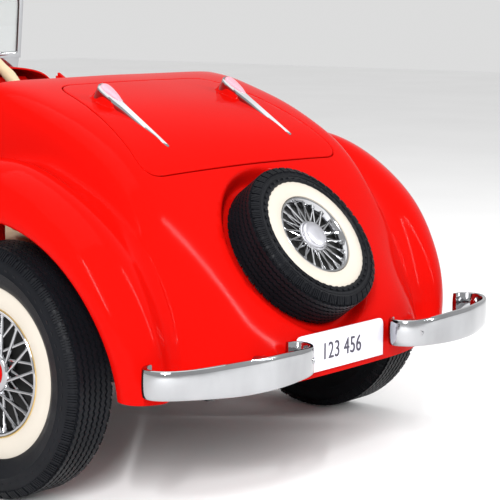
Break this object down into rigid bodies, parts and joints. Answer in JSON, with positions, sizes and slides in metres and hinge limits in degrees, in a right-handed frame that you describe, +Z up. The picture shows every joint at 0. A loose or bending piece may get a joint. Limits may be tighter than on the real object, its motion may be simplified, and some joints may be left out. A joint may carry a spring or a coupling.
{
  "type": "pedal car",
  "caption": "Child's pedal car shaped like a long-tailed open roadster, with a chain-driven rear axle, linked steering, hinged doors and boot lid, and a spare wheel let into the tail.",
  "frame": {"origin": "on the ground under the middle of the car's length and width", "axes": "+X forward, +Y to the driver's left, +Z up"},
  "size_m": [1.2654, 0.636, 0.5664],
  "materials": {
    "red_shell": "moulded plastic shell, sprayed bright red and lacquered to a high gloss",
    "chrome": "bright vacuum-plated chrome",
    "satin_metal": "satin silver",
    "tyre": "black moulded tyre, ribbed tread and shoulders",
    "rubber": "black ribbed rubber",
    "black_frame": "semi-gloss black paint",
    "steel": "plain steel",
    "cream_trim": "cream grained leathercloth",
    "pink_lens": "clear pink moulded lens",
    "clear_glass": "clear",
    "plate_white": "pale printed plastic",
    "whitewall": "cream sidewall band"
  },
  "bodies": {
    "body": {"tail_body": "red_shell", "body_side_left": "red_shell", "body_side_right": "red_shell", "cowl": "red_shell", "bonnet": "red_shell", "dashboard": "red_shell", "front_fender_left": "red_shell", "front_fender_right": "red_shell", "running_board_left": "rubber", "running_board_right": "rubber", "radiator_shell": "chrome", "grille": "black_frame", "headlamp_left": "chrome", "headlamp_right": "chrome", "headlamp_lens_left": "clear_glass", "headlamp_lens_right": "clear_glass", "windscreen_frame": "chrome", "windscreen_glass": "clear_glass", "seat_cushion": "cream_trim", "seat_back": "cream_trim", "front_bumper": "chrome", "rear_bumper_left": "chrome", "rear_bumper_right": "chrome", "licence_plate": "plate_white", "spare_tyre": "tyre", "spare_wheel": "chrome", "spare_cap": "satin_metal", "chassis_frame": "black_frame", "drive_chain": "steel", "crank_bracket": "steel", "front_axle_beam": "black_frame"},
    "rear_axle": {"rear_axle": "steel", "rear_sprocket": "steel", "tyre_rear_left": "tyre", "tyre_rear_right": "tyre", "wheel_rear_left": "chrome", "wheel_rear_right": "chrome", "hub_cap_rear_left": "red_shell", "hub_cap_rear_right": "red_shell"},
    "crank": {"pedal_crank": "chrome"},
    "pedal_left": {"pedal_left": "rubber"},
    "pedal_right": {"pedal_right": "rubber"},
    "trunk_lid": {"trunk_lid": "red_shell", "deck_ornament_left": "chrome", "deck_ornament_right": "chrome", "ornament_lens_left": "pink_lens", "ornament_lens_right": "pink_lens"},
    "door_left": {"door_left": "red_shell"},
    "door_right": {"door_right": "red_shell"},
    "steering": {"steering_column": "chrome", "steering_wheel": "cream_trim"},
    "knuckle_left": {"steering_knuckle_left": "steel"},
    "knuckle_right": {"steering_knuckle_right": "steel"},
    "tie_rod": {"tie_rod": "steel"},
    "front_wheel_left": {"tyre_front_left": "tyre", "wheel_front_left": "chrome", "hub_cap_front_left": "red_shell"},
    "front_wheel_right": {"tyre_front_right": "tyre", "wheel_front_right": "chrome", "hub_cap_front_right": "red_shell"}
  },
  "joints": [
    {"name": "rear_axle_spin", "type": "hinge", "parent": "body", "child": "rear_axle", "pos_m": [-0.3425, 0, 0.14], "axis": [0, 1, 0], "continuous": true},
    {"name": "crank_spin", "type": "hinge", "parent": "body", "child": "crank", "pos_m": [0.1775, 0, 0.208], "axis": [0, 1, 0], "continuous": true},
    {"name": "pedal_left_spin", "type": "hinge", "parent": "crank", "child": "pedal_left", "pos_m": [0.1775, 0.08, 0.138], "axis": [0, 1, 0], "continuous": true},
    {"name": "pedal_right_spin", "type": "hinge", "parent": "crank", "child": "pedal_right", "pos_m": [0.1775, -0.08, 0.278], "axis": [0, 1, 0], "continuous": true},
    {"name": "steering_turn", "type": "hinge", "parent": "body", "child": "steering", "pos_m": [0.3095, 0, 0.178], "axis": [-0.7366, 0, 0.6764], "range_deg": [-50, 50]},
    {"name": "kingpin_left_turn", "type": "hinge", "parent": "body", "child": "knuckle_left", "pos_m": [0.3975, 0.226, 0.14], "axis": [0, 0, 1], "range_deg": [-22, 22]},
    {"name": "kingpin_right_turn", "type": "hinge", "parent": "body", "child": "knuckle_right", "pos_m": [0.3975, -0.226, 0.14], "axis": [0, 0, 1], "range_deg": [-22, 22]},
    {"name": "tie_rod_swing", "type": "hinge", "parent": "knuckle_left", "child": "tie_rod", "pos_m": [0.3375, 0.226, 0.134], "axis": [0, 0, 1], "range_deg": [-22, 22]},
    {"name": "front_wheel_left_spin", "type": "hinge", "parent": "knuckle_left", "child": "front_wheel_left", "pos_m": [0.3975, 0.286, 0.14], "axis": [0, 1, 0], "continuous": true},
    {"name": "front_wheel_right_spin", "type": "hinge", "parent": "knuckle_right", "child": "front_wheel_right", "pos_m": [0.3975, -0.286, 0.14], "axis": [0, 1, 0], "continuous": true},
    {"name": "trunk_lid_open", "type": "hinge", "parent": "body", "child": "trunk_lid", "pos_m": [-0.2632, 0, 0.4425], "axis": [0, 1, 0], "range_deg": [0, 60]},
    {"name": "door_left_open", "type": "hinge", "parent": "body", "child": "door_left", "pos_m": [0.0855, 0.2135, 0.28], "axis": [0, 0, -1], "range_deg": [0, 65]},
    {"name": "door_right_open", "type": "hinge", "parent": "body", "child": "door_right", "pos_m": [0.0855, -0.2135, 0.28], "axis": [0, 0, 1], "range_deg": [0, 65]}
  ],
  "couplings": [
    {"joint": "crank_spin", "follows": "rear_axle_spin", "ratio": 0.6},
    {"joint": "pedal_left_spin", "follows": "rear_axle_spin", "ratio": -0.6},
    {"joint": "pedal_right_spin", "follows": "rear_axle_spin", "ratio": -0.6},
    {"joint": "kingpin_left_turn", "follows": "steering_turn", "ratio": 0.44},
    {"joint": "kingpin_right_turn", "follows": "steering_turn", "ratio": 0.44},
    {"joint": "tie_rod_swing", "follows": "steering_turn", "ratio": -0.44}
  ]
}
